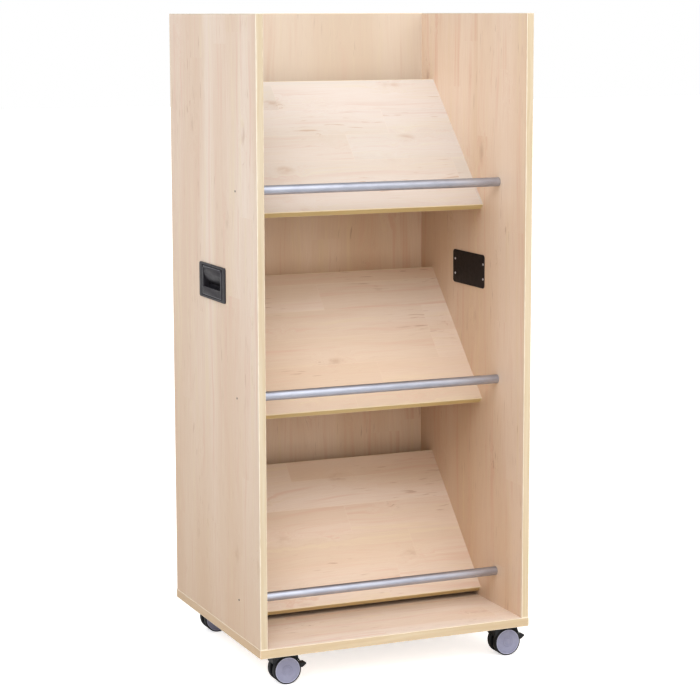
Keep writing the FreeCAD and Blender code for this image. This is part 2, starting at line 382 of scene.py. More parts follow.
def dress(piece, body, material):
    """Clean a finished piece, give it its finish and let it ride on its body."""
    edit(piece, "VERT", lambda corner: True)
    bpy.ops.mesh.remove_doubles(threshold=merge_gap)
    bpy.ops.mesh.normals_make_consistent(inside=False)
    object_mode()
    bpy.ops.object.shade_smooth_by_angle(angle=math.radians(smooth_deg))
    piece.data.materials.clear()
    piece.data.materials.append(material)
    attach(piece, body)
    return piece


# ---------------------------------------------------------------- material helpers


class Nodes:
    """Short way to add nodes and links to one material or group."""

    def __init__(self, tree):
        self.tree = tree

    def add(self, kind, **settings):
        node = self.tree.nodes.new(kind)
        for key, value in settings.items():
            setattr(node, key, value)
        return node

    def put(self, socket, value):
        """Link an input to another socket, or set its value."""
        if isinstance(value, bpy.types.NodeSocket):
            self.tree.links.new(value, socket)
        else:
            socket.default_value = value

    def feed(self, node, **values):
        """Set or link inputs by name; spaces in a socket's name are written as underscores."""
        for key, value in values.items():
            self.put(node.inputs[key.replace("_", " ")], value)
        return node

    def math(self, operation, first, second=0.0):
        node = self.add("ShaderNodeMath", operation=operation)
        for socket, value in zip(node.inputs, (first, second)):
            self.put(socket, value)
        return node.outputs[0]

    def vector_math(self, operation, *vectors):
        node = self.add("ShaderNodeVectorMath", operation=operation)
        for socket, vector in zip(node.inputs, vectors):
            self.put(socket, vector)
        return node.outputs[0]

    def vector(self, **parts):
        """Vector from its X, Y and Z; a part that isn't given is 0."""
        return self.feed(self.add("ShaderNodeCombineXYZ"), **parts).outputs[0]

    def split(self, vector):
        """Outputs X, Y and Z of a vector."""
        return self.feed(self.add("ShaderNodeSeparateXYZ"), Vector=vector).outputs

    def scaled(self, vector, scale, turn=(0, 0, 0)):
        node = self.add("ShaderNodeMapping")
        self.feed(node, Vector=vector, Scale=scale, Rotation=turn)
        return node.outputs[0]

    def noise(self, vector, scale=1.0, detail=2.0, roughness=0.5, distortion=0.0):
        node = self.add("ShaderNodeTexNoise")
        self.feed(node, Vector=vector, Scale=scale, Detail=detail, Roughness=roughness)
        self.feed(node, Distortion=distortion)
        return node.outputs[0]

    def stretched_noise(self, vector, repeats, **settings):
        """Noise with its own number of repeats on each axis."""
        return self.noise(self.scaled(vector, repeats), **settings)

    def ramp(self, value, low, high, out_low=0.0, out_high=1.0):
        """Smooth step of a value from one range to another."""
        node = self.add("ShaderNodeMapRange", interpolation_type="SMOOTHSTEP")
        self.feed(node, Value=value, From_Min=low, From_Max=high, To_Min=out_low, To_Max=out_high)
        return node.outputs[0]

    def mix(self, factor, first, second):
        """Mix two colours; each is a socket or an RGB triple."""
        node = self.add("ShaderNodeMix", data_type="RGBA")
        sockets = (node.inputs[0], node.inputs[6], node.inputs[7])
        for socket, value in zip(sockets, (factor, first, second)):
            self.put(socket, (*value, 1.0) if isinstance(value, tuple) else value)
        return node.outputs[2]

    def glaze(self, colour, mask, share, tone):
        """Take a colour towards an 8-bit tone by a share of a mask."""
        return self.mix(self.math("MULTIPLY", mask, share), colour, linear(*tone))

    def bump(self, height, strength, distance):
        node = self.add("ShaderNodeBump")
        self.feed(node, Height=height, Strength=strength, Distance=distance)
        return node.outputs[0]


def new_group(name, inputs, outputs):
    """Node group with (name, socket kind, default) inputs and (name, kind) outputs."""
    tree = bpy.data.node_groups.new(name, "ShaderNodeTree")
    for title, kind, default in inputs:
        socket = tree.interface.new_socket(title, in_out="INPUT", socket_type=kind)
        if default is not None:
            socket.default_value = default
    for title, kind in outputs:
        tree.interface.new_socket(title, in_out="OUTPUT", socket_type=kind)
    nodes = Nodes(tree)
    return tree, nodes, nodes.add("NodeGroupInput"), nodes.add("NodeGroupOutput")


def new_material(name, **plain):
    """Material with its plain shader constants set, and its object coordinates."""
    material = bpy.data.materials.new(name)
    material.use_nodes = True
    nodes = Nodes(material.node_tree)
    shader = material.node_tree.nodes["Principled BSDF"]
    nodes.feed(shader, **plain)
    place = nodes.add("ShaderNodeTexCoord").outputs["Object"]
    return material, nodes, shader, place


def linear(red, green, blue):
    """Linear colour from 8-bit display values."""
    def channel(value):
        value /= 255
        return value / 12.92 if value <= 0.04045 else ((value + 0.055) / 1.055) ** 2.4
    return channel(red), channel(green), channel(blue)


# ---------------------------------------------------------------- shared effects


def maple_figure_group():
    """Figure of sawn maple: X of the vector runs along the grain and Y across it."""
    tree, nodes, inside, out = new_group(
        "maple_figure",
        [
            ("Vector", "NodeSocketVector", None),
            ("Seed", "NodeSocketFloat", 0.0),
            ("Knots", "NodeSocketFloat", 0.5),
            ("Break", "NodeSocketFloat", 0.0),
        ],
        [
            (title, "NodeSocketFloat")
            for title in ("Cast", "Flame", "Fibre", "Fleck", "Knot", "Stave", "Seam")
        ],
    )
    seed = inside.outputs["Seed"]
    sample = nodes.vector(
        X=nodes.math("MULTIPLY", seed, 3.17),
        Y=nodes.math("MULTIPLY", seed, 1.93),
        Z=nodes.math("MULTIPLY", seed, 2.41),
    )
    grain = nodes.vector_math("ADD", inside.outputs["Vector"], sample)

    along, across, _ = nodes.split(grain)
    row = nodes.math("FLOOR", nodes.math("DIVIDE", across, stave_width))
    chance = nodes.feed(nodes.add("ShaderNodeTexWhiteNoise", noise_dimensions="1D"), W=row)
    slide = nodes.math("MULTIPLY", chance.outputs["Value"], stave_length)
    laid = nodes.vector(X=nodes.math("ADD", along, slide), Y=across)
    staves = nodes.add("ShaderNodeTexBrick", offset=0.0, offset_frequency=1, squash=1.0)
    nodes.feed(staves, Vector=laid, Scale=1.0, Mortar_Size=stave_seam, Mortar_Smooth=1.0)
    nodes.feed(staves, Brick_Width=stave_length, Row_Height=stave_width, Bias=0.0)
    nodes.feed(staves, Color1=(0, 0, 0, 1), Color2=(1, 1, 1, 1), Mortar=(0.5, 0.5, 0.5, 1))
    nodes.feed(out, Stave=staves.outputs["Color"], Seam=staves.outputs["Fac"])

    cells = nodes.add("ShaderNodeTexVoronoi", feature="F1")
    nodes.feed(cells, Vector=nodes.scaled(grain, knot_repeats), Scale=1.0, Randomness=1.0)
    distance = cells.outputs["Distance"]
    choice = nodes.feed(nodes.add("ShaderNodeSeparateColor"), Color=cells.outputs["Color"])
    chosen = nodes.math("LESS_THAN", choice.outputs[0], inside.outputs["Knots"])
    near = nodes.math("MULTIPLY", nodes.ramp(distance, 0.5, 0.04), chosen)
    heart = nodes.math("MULTIPLY", nodes.ramp(distance, 0.19, 0.01), chosen)
    swirl = nodes.stretched_noise(grain, knot_swirl_repeats)
    knot = nodes.math("MULTIPLY", heart, nodes.ramp(swirl, 0.38, 0.62, 0.15, 1.0))
    nodes.feed(out, Knot=knot)

    bend = nodes.stretched_noise(grain, bend_repeats)
    wander = nodes.math("MULTIPLY", nodes.math("SUBTRACT", bend, 0.5), bend_width)
    curl = nodes.stretched_noise(grain, knot_curl_repeats)
    bulge = nodes.math("MULTIPLY", near, nodes.ramp(curl, 0.25, 0.75, *knot_bulge))
    jump = nodes.math("MULTIPLY", staves.outputs["Color"], inside.outputs["Break"])
    aside = nodes.vector(Y=nodes.math("ADD", wander, bulge), Z=jump)
    flow = nodes.vector_math("ADD", grain, aside)

    cast = nodes.stretched_noise(flow, cast_repeats, detail=1.5, roughness=0.45)
    broad = nodes.stretched_noise(
        flow, broad_flame_repeats, detail=3.0, roughness=0.55, distortion=0.25
    )
    narrow = nodes.stretched_noise(flow, narrow_flame_repeats)
    fibre = nodes.stretched_noise(flow, fibre_repeats, roughness=0.6)
    nodes.feed(out, Cast=cast, Flame=nodes.mix(0.4, broad, narrow), Fibre=fibre)
    dash = nodes.stretched_noise(flow, fleck_repeats, detail=1.0, roughness=0.4)
    patch = nodes.ramp(nodes.stretched_noise(grain, fleck_patch_repeats, detail=1.0), 0.45, 0.6)
    nodes.feed(out, Fleck=nodes.math("MULTIPLY", nodes.ramp(dash, 0.66, 0.76), patch))
    return tree


def moulded_skin_group():
    """Fine spark-eroded grain, flow patches and handling sheen of a moulded plastic."""
    tree, nodes, inside, out = new_group(
        "moulded_skin",
        [("Vector", "NodeSocketVector", None), ("Grain", "NodeSocketFloat", 2500.0)],
        [("Patch", "NodeSocketFloat"), ("Sheen", "NodeSocketFloat"), ("Relief", "NodeSocketFloat")],
    )
    vector = inside.outputs["Vector"]
    nodes.feed(out, Patch=nodes.noise(vector, scale=38.0, detail=3.0, roughness=0.6))
    nodes.feed(out, Sheen=nodes.noise(vector, scale=95.0, detail=4.0, roughness=0.65))
    nodes.feed(out, Relief=nodes.noise(vector, scale=inside.outputs["Grain"], roughness=0.6))
    return tree


def metal_draw_group():
    """Draw lines along X of the vector, with handling smudges."""
    tree, nodes, inside, out = new_group(
        "metal_draw",
        [("Vector", "NodeSocketVector", None)],
        [("Line", "NodeSocketFloat"), ("Smudge", "NodeSocketFloat")],
    )
    vector = inside.outputs["Vector"]
    line = nodes.stretched_noise(vector, (12, 2600, 2600))
    smudge = nodes.stretched_noise(vector, (18, 60, 60), detail=3.0, roughness=0.6)
    nodes.feed(out, Line=line, Smudge=smudge)
    return tree


def arris_highlight_group():
    """Mask along the arrises of a box between Low and High, for painted highlights: both nearest sides
    are close there.
    """
    tree, nodes, inside, out = new_group(
        "arris_highlight",
        [
            ("Vector", "NodeSocketVector", None),
            ("Low", "NodeSocketVector", None),
            ("High", "NodeSocketVector", None),
            ("Width", "NodeSocketFloat", 0.002),
        ],
        [("Line", "NodeSocketFloat")],
    )
    place = inside.outputs["Vector"]
    gaps = []
    for corner in ("Low", "High"):
        away = nodes.vector_math("SUBTRACT", place, inside.outputs[corner])
        gaps.append(nodes.vector_math("ABSOLUTE", away))
    across, deep, high = nodes.split(nodes.vector_math("MINIMUM", *gaps))
    less = nodes.math("MINIMUM", across, deep)
    more = nodes.math("MAXIMUM", across, deep)
    second = nodes.math("MAXIMUM", less, nodes.math("MINIMUM", more, high))
    uneven = nodes.noise(place, scale=45.0)
    width = nodes.math("MULTIPLY", inside.outputs["Width"], nodes.ramp(uneven, 0.3, 0.7, 0.7, 1.2))
    share = nodes.math("DIVIDE", second, width)
    nodes.feed(out, Line=nodes.ramp(share, 1.0, 0.45))
    return tree


maple_figure = maple_figure_group()
moulded_skin = moulded_skin_group()
metal_draw = metal_draw_group()
arris_highlight = arris_highlight_group()


def use_group(nodes, tree, **values):
    node = nodes.add("ShaderNodeGroup", node_tree=tree)
    nodes.feed(node, **values)
    return node


# ---------------------------------------------------------------- finishes


def shaded(colour, share):
    """Colour with each channel taken down to a share of itself."""
    return tuple(channel * part for channel, part in zip(colour, share))


def maple_board(name, turn_deg, seed, pale, warm, stave=0.4, knots=0.6, painted_shade=None):
    """Maple-decor board, satin: the turn brings the grain to X and the width to Y.

    The last argument paints shade: a darker tone standing in for less light, how far the board takes
    it on, the heights between which it comes in, and the depth from the front up to which it reaches.
    """
    material, nodes, shader, place = new_material(name, Coat_Weight=0.05, Coat_Roughness=0.35)
    turn = tuple(math.radians(angle) for angle in turn_deg)
    figure = use_group(nodes, maple_figure, Vector=nodes.scaled(place, (1, 1, 1), turn))
    nodes.feed(figure, Seed=seed, Knots=knots, Break=stave_break * stave)
    masks = figure.outputs
    colour = nodes.mix(nodes.ramp(masks["Cast"], 0.3, 0.7), linear(*pale), linear(*warm))
    pale_streak = nodes.ramp(masks["Flame"], 0.52, 0.66)
    colour = nodes.glaze(colour, pale_streak, greenish_share, shaded(pale, greenish))
    warm_streak = nodes.ramp(masks["Flame"], 0.49, 0.32)
    colour = nodes.glaze(colour, warm_streak, rosy_share, shaded(warm, rosy))
    deeper = nodes.math("MULTIPLY", nodes.math("SUBTRACT", masks["Stave"], 0.5), stave)
    colour = nodes.mix(nodes.math("MAXIMUM", deeper, 0.0), colour, linear(*stave_tone))
    colour = nodes.glaze(colour, nodes.ramp(masks["Fibre"], 0.35, 0.7), fibre_share, fibre_tone)
    colour = nodes.glaze(colour, masks["Seam"], seam_share * stave, seam_tone)
    colour = nodes.glaze(colour, masks["Fleck"], fleck_share, fleck_tone)
    colour = nodes.glaze(colour, masks["Knot"], knot_share, knot_tone)
    # painted shade: the colour is taken to a darker tone between two heights, where less light falls
    if painted_shade:
        shade_tone, amount, start, full, reach = painted_shade
        _, depth, height = nodes.split(place)
        share = nodes.ramp(height, start, full, 0.0, amount)
        within = nodes.ramp(depth, reach + MM, reach)
        colour = nodes.mix(nodes.math("MULTIPLY", share, within), colour, linear(*shade_tone))
    nodes.feed(shader, Base_Color=colour)
    nodes.feed(shader, Roughness=nodes.ramp(masks["Fibre"], 0.3, 0.75, 0.40, 0.56))
    nodes.feed(shader, Normal=nodes.bump(masks["Fibre"], strength=0.06, distance=0.0004))
    return material


def turned_box(node, turn):
    """Corners of the box round a CAD node after a turn about the origin."""
    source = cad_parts[node]
    spin = Euler(turn).to_matrix()
    corners = [spin @ (source.matrix_world @ corner.co) for corner in source.data.vertices]
    low = tuple(min(corner[axis] for corner in corners) for axis in range(3))
    high = tuple(max(corner[axis] for corner in corners) for axis in range(3))
    return low, high


def lap_vector(nodes, place, across):
    """Vector whose X runs along a band that goes round a board, and whose Y runs across it."""
    parts = nodes.split(place)
    first, second = (parts[axis] for axis in "XYZ" if axis != across)
    return nodes.vector(X=nodes.math("ADD", first, second), Y=parts[across])


def maple_edging(node, turn_deg, seed, pale, warm, across=None, left_shade_tone=None):
    """Edging strip, yellower than the boards, with fine lengthwise lines and painted highlights on its
    arrises.

    A band that goes round a board names the axis across it, and can have a left strip in painted shade.
    """
    name = f"maple_{node}"
    material, nodes, shader, place = new_material(name, Coat_Weight=0.12, Coat_Roughness=0.25)
    turn = tuple(math.radians(angle) for angle in turn_deg)
    along = nodes.scaled(place, (1, 1, 1), turn)
    lengthwise = lap_vector(nodes, place, across) if across else along
    figure = use_group(nodes, maple_figure, Vector=lengthwise, Seed=seed, Knots=0.0)
    masks = figure.outputs
    colour = nodes.mix(nodes.ramp(masks["Flame"], 0.3, 0.7), linear(*pale), linear(*warm))
    fibre = nodes.ramp(masks["Fibre"], 0.35, 0.7)
    colour = nodes.glaze(colour, fibre, edging_fibre_share, edging_fibre_tone)
    low, high = turned_box(node, turn)
    # painted shade: the band's left face taken darker, on the side where less light falls
    if left_shade_tone:
        start, full = low[0] + left_strip_start, low[0] + left_strip_full
        left = nodes.ramp(nodes.split(place)["X"], start, full, 0.0, left_strip_share)
        colour = nodes.mix(left, colour, linear(*left_shade_tone))
    # painted highlight: paler lines along the arrises, where their rounded edges catch the light
    highlight = use_group(nodes, arris_highlight, Vector=along, Low=low, High=high, Width=edging_highlight)
    colour = nodes.glaze(colour, highlight.outputs["Line"], edging_highlight_share, edging_highlight_tone)
    nodes.feed(shader, Base_Color=colour)
    nodes.feed(shader, Roughness=nodes.ramp(masks["Cast"], 0.3, 0.7, 0.34, 0.46))
    nodes.feed(shader, Normal=nodes.bump(masks["Fibre"], strength=0.05, distance=0.0003))
    return material


def raw_plywood():
    """Unfinished plywood of the hidden splines."""
    material, nodes, shader, place = new_material("raw_plywood")
    figure = use_group(nodes, maple_figure, Vector=place, Seed=9.0, Knots=0.2)
    colour = nodes.mix(figure.outputs["Flame"], linear(214, 184, 142), linear(190, 156, 112))
    nodes.feed(shader, Base_Color=colour)
    nodes.feed(shader, Roughness=nodes.ramp(figure.outputs["Fibre"], 0.3, 0.7, 0.7, 0.85))
    return material


def drawn_metal(name, colour, smudged, rough_low, rough_high):
    """Anodised or plated metal with draw lines along X."""
    material, nodes, shader, place = new_material(name)
    draw = use_group(nodes, metal_draw, Vector=place)
    smudge = nodes.ramp(draw.outputs["Smudge"], 0.35, 0.75)
    nodes.feed(shader, Base_Color=nodes.mix(smudge, linear(*colour), linear(*smudged)))
    wear = nodes.math("ADD", nodes.math("MULTIPLY", draw.outputs["Line"], 0.5), 0.25)
    nodes.feed(shader, Metallic=nodes.ramp(draw.outputs["Smudge"], 0.0, 1.0, 1.0, 0.94))
    nodes.feed(shader, Roughness=nodes.ramp(wear, 0.35, 0.65, rough_low, rough_high))
    nodes.feed(shader, Normal=nodes.bump(draw.outputs["Line"], strength=0.08, distance=0.0001))
    return material


def moulded_plastic(name, colour, bloom, rough_low, rough_high, grain=2500.0, relief=0.15):
    """Moulded plastic: the bloom is the lighter tone of its flow patches."""
    material, nodes, shader, place = new_material(name)
    skin = use_group(nodes, moulded_skin, Vector=place, Grain=grain)
    patch = nodes.ramp(skin.outputs["Patch"], 0.35, 0.75)
    nodes.feed(shader, Base_Color=nodes.mix(patch, linear(*colour), linear(*bloom)))
    nodes.feed(shader, Roughness=nodes.ramp(skin.outputs["Sheen"], 0.3, 0.7, rough_low, rough_high))
    nodes.feed(shader, Normal=nodes.bump(skin.outputs["Relief"], relief, distance=0.0001))
    return material


def handle_moulding():
    """Dark grey moulding with a painted highlight along the arrises of its raised ridge."""
    material, nodes, shader, place = new_material("handle_moulding")
    skin = use_group(nodes, moulded_skin, Vector=place, Grain=2500.0)
    patch = nodes.ramp(skin.outputs["Patch"], 0.35, 0.75)
    colour = nodes.mix(patch, linear(46, 42, 45), linear(54, 50, 54))
    low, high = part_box("handle_cup_right")
    centre = (low + high) / 2
    face = low.x + tub_depth
    folded = nodes.vector_math("ABSOLUTE", place)
    highlight = use_group(nodes, arris_highlight, Vector=folded, Width=ridge_highlight)
    nodes.feed(
        highlight,
        Low=(face, -ridge_half_width, centre.z - ridge_half_height),
        High=(high.x, ridge_half_width, centre.z + ridge_half_height),
    )
    outwards = nodes.split(folded)["X"]
    crest = nodes.ramp(outwards, high.x - 0.8 * ridge_proud, high.x - 0.3 * ridge_proud)
    # painted highlight: paler crest edges of the ridge, where they catch the light
    lit_crest = nodes.math("MULTIPLY", highlight.outputs["Line"], crest)
    colour = nodes.glaze(colour, lit_crest, ridge_highlight_share, ridge_highlight_tone)
    nodes.feed(shader, Base_Color=colour)
    nodes.feed(shader, Roughness=nodes.ramp(skin.outputs["Sheen"], 0.3, 0.7, 0.34, 0.46))
    nodes.feed(shader, Normal=nodes.bump(skin.outputs["Relief"], 0.15, distance=0.0001))
    return material


handle_plastic = handle_moulding()
plate_plastic = moulded_plastic("plate_plastic", (29, 21, 19), (34, 26, 24), 0.5, 0.62)
caster_nylon = moulded_plastic("caster_nylon", (22, 22, 24), (30, 30, 33), 0.34, 0.5)
tyre_rubber = moulded_plastic("tyre_rubber", (20, 20, 22), (30, 30, 33), 0.45, 0.62, 1800.0)
disc_plastic = moulded_plastic(
    "disc_plastic", (148, 147, 166), (156, 155, 172), 0.32, 0.42, 3000.0, 0.08
)
# painted highlight: the rim bead is much paler than the disc, for the light caught along the rim
bead_highlight_plastic = moulded_plastic(
    "bead_highlight_plastic", (188, 187, 204), (196, 195, 210), 0.25, 0.35, 3000.0, 0.05
)
screw_dark = drawn_metal("screw_dark", (70, 62, 58), (50, 44, 42), 0.35, 0.5)
screw_bright = drawn_metal("screw_bright", (232, 232, 236), (214, 214, 219), 0.34, 0.48)
rail_aluminium = drawn_metal("rail_aluminium", (193, 195, 204), (179, 181, 191), 0.45, 0.54)
pin_steel = drawn_metal("pin_steel", (170, 170, 174), (140, 140, 146), 0.3, 0.42)


def paint(node, material):
    """Give a CAD node its finish."""
    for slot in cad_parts[node].material_slots:
        slot.material = material


def paint_sides_and_back():
    low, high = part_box("back_panel")
    # painted shade: side panels darker towards the foot, and the back's inner face greyer near its top,
    # where less light falls
    foot_shade = ((194, 159, 121), 0.6, 1.15, -0.25, high.y)
    light_foot_shade = ((196, 163, 130), 0.14, 1.15, -0.25, high.y)
    head = ((194, 184, 170), 0.55, 1.15, 1.4, low.y)
    up_x, up_y = grain_up_face_x, grain_up_face_y
    for node, name, turn, seed, pale, warm, knots, painted_shade in (
        ("side_panel_left", "side_left", up_x, 1.0, (231, 212, 194), (222, 197, 174), 0.35, foot_shade),
        ("side_panel_right", "side_right", up_x, 2.0, (233, 210, 187), (224, 196, 167), 0.4, light_foot_shade),
        ("back_panel", "back", up_y, 3.0, (232, 208, 183), (222, 193, 162), 0.45, head),
    ):
        board = maple_board(f"maple_{name}", turn, seed, pale, warm, 0.12, knots, painted_shade)
        paint(node, board)


def paint_base_and_shelves():
    base = maple_board("maple_base", grain_across, 4.0, (242, 225, 209), (233, 211, 189))
    paint("base_panel", base)
    pale, warm = (229, 211, 194), (220, 198, 175)
    # painted light: the top shelf gets paler, greyer tones than the others, for the cool light falling
    # on it from above
    lit_top_pale, lit_top_warm = (216, 206, 197), (208, 197, 184)
    for level, seed, tones in (
        ("bottom", 5.3, (pale, warm)),
        ("middle", 7.0, (pale, warm)),
        ("top", 8.7, (lit_top_pale, lit_top_warm)),
    ):
        board = maple_board(f"maple_shelf_{level}", grain_on_slope, seed, *tones, 0.5, 0.75)
        paint(f"shelf_{level}", board)
        # partly painted shade: the bands are yellower edging, taken a deeper gold for the shade on their
        # downward-facing fronts
        for edge in ("front", "rear"):
            band = f"shelf_{edge}_band_{level}"
            paint(band, maple_edging(band, grain_on_slope, seed, (211, 190, 141), (196, 170, 114)))


def paint_edging_and_joinery():
    for band, across, seed, pale, warm, left_shade_tone in (
        ("side_edge_band_left", "X", 11.0, (210, 196, 173), (199, 179, 149), None),
        ("side_edge_band_right", "X", 11.4, (216, 199, 173), (204, 184, 152), None),
        ("back_edge_band", None, 12.0, (215, 190, 152), (203, 172, 130), None),
        ("base_edge_band", "Z", 13.0, (211, 193, 165), (200, 177, 144), (205, 169, 128)),
    ):
        finish = maple_edging(band, grain_across, seed, pale, warm, across, left_shade_tone)
        paint(band, finish)
    paint("panel_splines", raw_plywood())
    paint("caster_stems", pin_steel)


# ---------------------------------------------------------------- screws


def cross_recess(piece, centre, radius, depth):
    """Cut a cross recess into a screw head that looks along +Z."""
    reach, arm = recess_reach * radius, recess_arm * radius
    for size_x, size_y in ((reach, arm), (arm, reach)):
        low = centre + Vector((-size_x, -size_y, -depth))
        high = centre + Vector((size_x, size_y, depth))
        cut_away(piece, add_block("recess_tool", low, high))


def screw_head(name, radius, height, sunk, dome):
    """Screw head on +Z with its seat on the XY plane, sunk a little into what it holds."""
    piece = add_round(name, radius, (0, 0, -sunk), (0, 0, height), screw_sides)
    round_corners(piece, edges_at(z=height), dome, 4)
    cross_recess(piece, Vector((0, 0, height)), radius, recess_depth * height)
    return piece


def facing(direction, turn_deg):
    """Turn +Z to a direction, after a turn about itself."""
    aim = Vector(direction).to_track_quat("Z", "Y").to_matrix().to_4x4()
    return aim @ Matrix.Rotation(math.radians(turn_deg), 4, "Z")


def fix_screws(head, name, places, direction, material):
    """Copies of one head at their places, joined into one piece."""
    copies = []
    for count, centre in enumerate(places):
        turn = facing(direction, first_screw_turn_deg + next_screw_turn_deg * count)
        copies.append(placed_copy(head, name, Matrix.Translation(centre) @ turn))
    deselect_all()
    for twin in copies:
        twin.select_set(True)
    bpy.context.view_layer.objects.active = copies[0]
    bpy.ops.object.join()
    return dress(copies[0], "carcass", material)


# ---------------------------------------------------------------- rails


def rail(level):
    """Round rail between the side panels, its ends a little eased."""
    low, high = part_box(f"rail_{level}")
    centre = (low + high) / 2
    piece = add_round(
        f"round_rail_{level}",
        (high.z - low.z) / 2,
        (low.x, centre.y, centre.z),
        (high.x, centre.y, centre.z),
        rail_sides,
    )
    along = edges_along((1, 0, 0))
    round_corners(piece, lambda edge: not along(edge), rail_end_round, 3)
    dress(piece, "carcass", rail_aluminium)
    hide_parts(f"rail_{level}")


def rail_screws():
    """Countersunk heads on the outside of both side panels, on the axis of each rail."""
    head = screw_head("rail_screw_pattern", *rail_screw)
    for side, panel, direction in (
        ("left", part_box("side_panel_left")[0].x, (-1, 0, 0)),
        ("right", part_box("side_panel_right")[1].x, (1, 0, 0)),
    ):
        places = []
        for level in ("bottom", "middle", "top"):
            low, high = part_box(f"rail_{level}")
            places.append(Vector((panel, (low.y + high.y) / 2, (low.z + high.z) / 2)))
        fix_screws(head, f"rail_screws_{side}", places, direction, screw_dark)
    bpy.data.objects.remove(head)


# ---------------------------------------------------------------- recessed handles


def finger_space():
    """Tool for the finger space: a brow that rolls down and back behind the lip into a pocket."""
    half_width = tub_half_width - tub_wall
    half_height = tub_half_height - tub_wall
    back = tub_depth - tub_wall
    low, high = (0, -half_width, -half_height), (back, half_width, half_height)
    tool = add_block("finger_space", low, high)
    for height in (brow_z, brow_foot_z, lip_top):
        edit(tool, "FACE", lambda face: True)
        bpy.ops.mesh.bisect(plane_co=(0, 0, height), plane_no=(0, 0, 1))
        object_mode()
    at_panel = faces_towards((-1, 0, 0), -MM)
    edit(tool, "FACE", lambda face: at_panel(face) and face.calc_center_median().z > lip_top)
    push((-flange_thickness - ridge_proud - overlap, 0, 0))
    object_mode()
    edit(tool, "VERT", lambda corner: corner.co.x > MM and corner.co.z > brow_z - same_place)
    bpy.ops.transform.translate(value=(-flange_thickness - back, 0, 0))
    object_mode()
    round_corners(tool, edges_at(x=-flange_thickness, z=brow_z), brow_reach, 16)
    round_corners(tool, edges_at(x=back, z=-half_height), pocket_round, 5)
    return tool


def ridge_frame():
    """Raised frame round the mouth, as a plain block."""
    return add_block(
        "ridge_frame",
        (-flange_thickness - ridge_proud, -ridge_half_width, -ridge_half_height),
        (0, ridge_half_width, ridge_half_height),
    )


def handle_pattern():
    """Cup of the left handle: flange, groove, ridge and tub, with the finger space cut out."""
    low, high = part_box("handle_cup_left")
    half = (high - low) / 2
    front = -flange_thickness
    cup = add_block("handle_pattern", (front, -half.y, -half.z), (0, half.y, half.z))
    round_corners(cup, edges_along((1, 0, 0)), flange_corner, 10)
    round_corners(cup, edges_at(x=front), flange_round, 3)
    groove_half_width = ridge_half_width + groove_side_width
    groove_half_height = ridge_half_height + groove_end_width
    groove = add_block(
        "groove",
        (front - overlap, -groove_half_width, -groove_half_height),
        (front + groove_depth, groove_half_width, groove_half_height),
    )
    cut_away(cup, groove)
    combine(cup, ridge_frame(), "UNION")
    tub = add_block(
        "tub",
        (-overlap, -tub_half_width, -tub_half_height),
        (tub_depth, tub_half_width, tub_half_height),
    )
    round_corners(tub, edges_along((1, 0, 0)), tub_corner, 8)
    combine(cup, tub, "UNION")
    cut_away(cup, finger_space())
    crest = front - ridge_proud
    for y in (-flange_screw_reach[0], flange_screw_reach[0]):
        centre = Vector((crest, y, flange_screw_reach[1]))
        depth = Vector((flange_screw_depth, 0, 0))
        hole = add_round(
            "screw_hole", flange_screw_hole, centre - depth, centre + depth, screw_sides
        )
        cut_away(cup, hole)
    return cup


def handles():
    """Moulded cups on both panels, the right one turned half round."""
    pattern = handle_pattern()
    soften(pattern, handle_arris_round, 2, 28)
    head = screw_head("flange_screw_pattern", *flange_screw)
    low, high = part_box("handle_cup_left")
    panel_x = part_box("side_panel_left")[0].x
    place = Matrix.Translation((panel_x, 0, (low.z + high.z) / 2))
    seat_x = -flange_thickness - ridge_proud + flange_screw_depth
    half_turn = Matrix.Rotation(math.pi, 4, "Z")
    for side, turn in (("left", Matrix.Identity(4)), ("right", half_turn)):
        cup = placed_copy(pattern, f"handle_{side}", turn @ place)
        dress(cup, "carcass", handle_plastic)
        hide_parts(f"handle_cup_{side}")
        places = []
        for y in (-flange_screw_reach[0], flange_screw_reach[0]):
            places.append(turn @ place @ Vector((seat_x, y, flange_screw_reach[1])))
        outwards = (-1, 0, 0) if side == "left" else (1, 0, 0)
        fix_screws(head, f"handle_screws_{side}", places, outwards, screw_dark)
    bpy.data.objects.remove(pattern)
    bpy.data.objects.remove(head)


def cover_plates():
    """Plates with rounded corners inside both panels, each on four bright screws."""
    head = screw_head("plate_screw_pattern", *plate_screw)
    for side, inwards in (("left", 1), ("right", -1)):
        low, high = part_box(f"handle_cover_plate_{side}")
        piece = add_block(f"cover_plate_{side}", low, high)
        round_corners(piece, edges_along((1, 0, 0)), plate_corner, 10)
        soften(piece, plate_round, 2, 60)
        dress(piece, "carcass", plate_plastic)
        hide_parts(f"handle_cover_plate_{side}")
        face_x = high.x if inwards > 0 else low.x
        centre = (low + high) / 2 - Vector((0, plate_screw_lead, 0))
        places = []
        for y in (-plate_screw_spacing[0] / 2, plate_screw_spacing[0] / 2):
            for z in (-plate_screw_spacing[1] / 2, plate_screw_spacing[1] / 2):
                places.append(Vector((face_x, centre.y + y, centre.z + z)))
        name = f"plate_screws_{side}"
        fix_screws(head, name, places, (inwards, 0, 0), screw_bright)
    bpy.data.objects.remove(head)


# ---------------------------------------------------------------- casters


